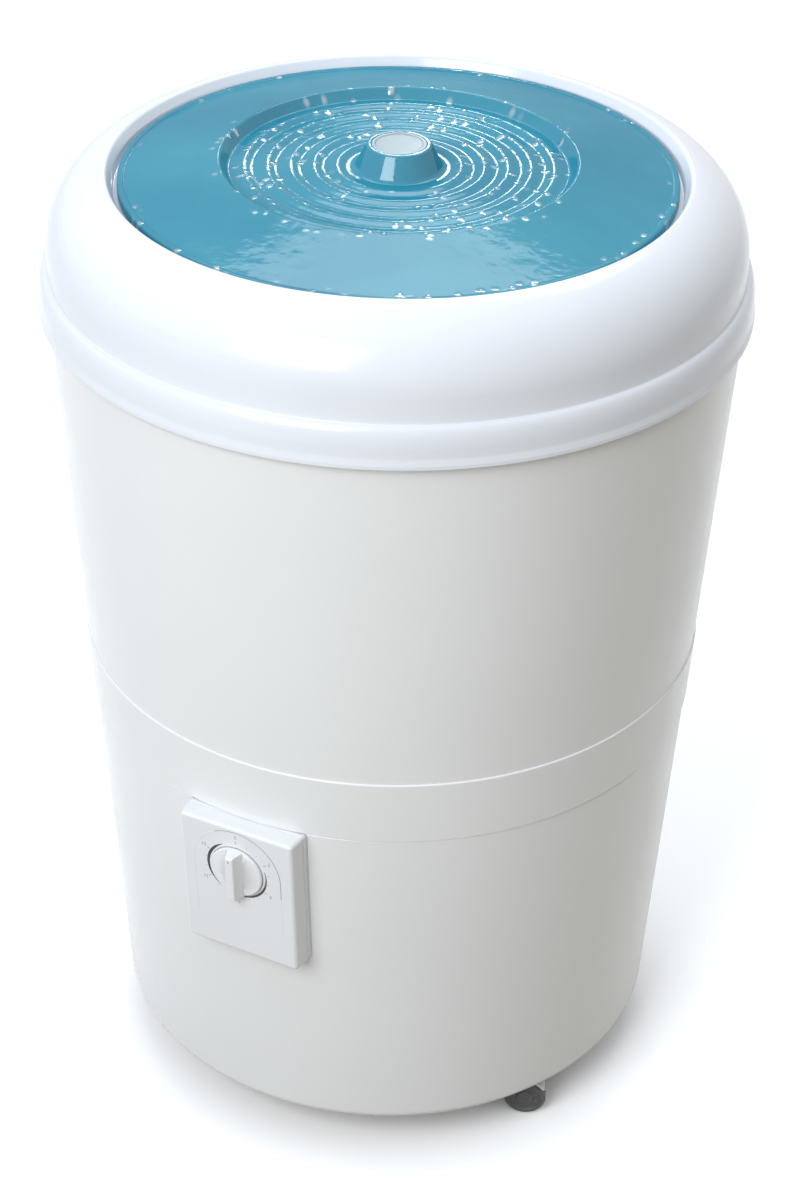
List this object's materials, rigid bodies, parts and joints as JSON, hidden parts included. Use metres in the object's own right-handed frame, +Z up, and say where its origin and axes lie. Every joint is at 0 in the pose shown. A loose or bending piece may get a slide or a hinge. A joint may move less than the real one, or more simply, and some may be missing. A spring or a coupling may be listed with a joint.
{
  "type": "washing machine",
  "caption": "Round top-loading semi-automatic washing machine: tapered plastic body on casters, lift-off lid, timer knob on the front, belt-driven pulsator inside.",
  "frame": {"origin": "on the floor, under the middle of the body's axis", "axes": "+Z up along the body's axis; the timer panel faces -Y; +X is to the viewer's right"},
  "size_m": [0.5614, 0.5623, 0.8339],
  "materials": {
    "body_white": "glossy white moulded plastic",
    "panel_white": "satin white moulded plastic",
    "knob_white": "satin white moulded plastic",
    "lid_teal": "glossy translucent teal plastic",
    "cap_silver": "glossy silver-white plastic",
    "pulsator_blue": "glossy pale blue plastic",
    "black_plastic": "matt black plastic",
    "dark_plastic": "matt dark grey plastic",
    "wheel_grey": "matt dark grey wheel plastic",
    "hood_white": "satin white moulded plastic",
    "black_rubber": "black rubber",
    "steel": "zinc-plated steel",
    "core_steel": "laminated steel, varnished",
    "cast_metal": "cast aluminium",
    "copper": "enamelled copper wire",
    "bronze": "sintered bronze"
  },
  "bodies": {
    "machine": {"base_shell": "body_white", "base_plate": "body_white", "tub": "body_white", "top_ring": "body_white", "drain_sump": "body_white", "outlet_spout": "body_white", "control_panel": "panel_white", "drain_grille": "pulsator_blue", "timer_plate": "black_plastic", "timer_body": "dark_plastic", "capacitor": "dark_plastic", "cord_gland": "dark_plastic", "drive_belt": "black_rubber", "shaft_seal": "black_rubber", "hub_gasket": "black_rubber", "motor_grommets": "black_rubber", "drain_hose": "black_rubber", "base_screws": "steel", "tub_screws": "steel", "panel_screws": "steel", "timer_screws": "steel", "hub_screws": "steel", "motor_bolts": "steel", "motor_bracket": "steel", "mount_screws": "steel", "capacitor_clip": "steel", "clip_screw": "steel", "motor_stator": "core_steel", "bearing_housing": "cast_metal", "motor_top_cap": "cast_metal", "motor_bottom_cap": "cast_metal", "motor_windings": "copper", "upper_bush": "bronze", "lower_bush": "bronze", "motor_bushes": "bronze"},
    "lid": {"lid": "lid_teal", "knob_cap": "cap_silver"},
    "timer": {"timer_knob": "knob_white", "timer_shaft": "steel"},
    "drive": {"pulsator": "pulsator_blue", "pulsator_screw": "steel", "drive_shaft": "steel", "shaft_collar": "steel", "drive_pulley": "dark_plastic", "pulley_nut": "steel"},
    "rotor": {"motor_rotor": "steel", "motor_pulley": "steel"},
    "caster_1": {"caster_hood_1": "hood_white", "caster_stem_1": "steel"},
    "wheels_1": {"caster_wheels_1": "wheel_grey", "caster_axle_1": "steel"},
    "caster_2": {"caster_hood_2": "hood_white", "caster_stem_2": "steel"},
    "wheels_2": {"caster_wheels_2": "wheel_grey", "caster_axle_2": "steel"},
    "caster_3": {"caster_hood_3": "hood_white", "caster_stem_3": "steel"},
    "wheels_3": {"caster_wheels_3": "wheel_grey", "caster_axle_3": "steel"}
  },
  "joints": [
    {"name": "lid_lift", "type": "slide", "parent": "machine", "child": "lid", "axis": [0, 0, 1], "range_m": [0, 0.25]},
    {"name": "timer_turn", "type": "hinge", "parent": "machine", "child": "timer", "pos_m": [0, -0.26735, 0.31477], "axis": [0, 0.9983, 0.0582], "range_deg": [0, 300]},
    {"name": "drive_spin", "type": "hinge", "parent": "machine", "child": "drive", "pos_m": [0, 0, 0.253], "axis": [0, 0, 1], "continuous": true},
    {"name": "motor_spin", "type": "hinge", "parent": "machine", "child": "rotor", "pos_m": [0.15, 0, 0.253], "axis": [0, 0, 1], "continuous": true},
    {"name": "caster_swivel_1", "type": "hinge", "parent": "machine", "child": "caster_1", "pos_m": [0.17588, -0.10154, 0.03], "axis": [0, 0, 1], "continuous": true},
    {"name": "wheel_spin_1", "type": "hinge", "parent": "caster_1", "child": "wheels_1", "pos_m": [0.187, -0.09705, 0.018], "axis": [-0.3746, 0.9272, 0], "continuous": true},
    {"name": "caster_swivel_2", "type": "hinge", "parent": "machine", "child": "caster_2", "pos_m": [0, 0.20308, 0.03], "axis": [0, 0, 1], "continuous": true},
    {"name": "wheel_spin_2", "type": "hinge", "parent": "caster_2", "child": "wheels_2", "pos_m": [0.01113, 0.20758, 0.018], "axis": [-0.3746, 0.9272, 0], "continuous": true},
    {"name": "caster_swivel_3", "type": "hinge", "parent": "machine", "child": "caster_3", "pos_m": [-0.17588, -0.10154, 0.03], "axis": [0, 0, 1], "continuous": true},
    {"name": "wheel_spin_3", "type": "hinge", "parent": "caster_3", "child": "wheels_3", "pos_m": [-0.16475, -0.09705, 0.018], "axis": [-0.3746, 0.9272, 0], "continuous": true}
  ],
  "couplings": [
    {"joint": "motor_spin", "follows": "drive_spin", "ratio": 5.1573}
  ]
}
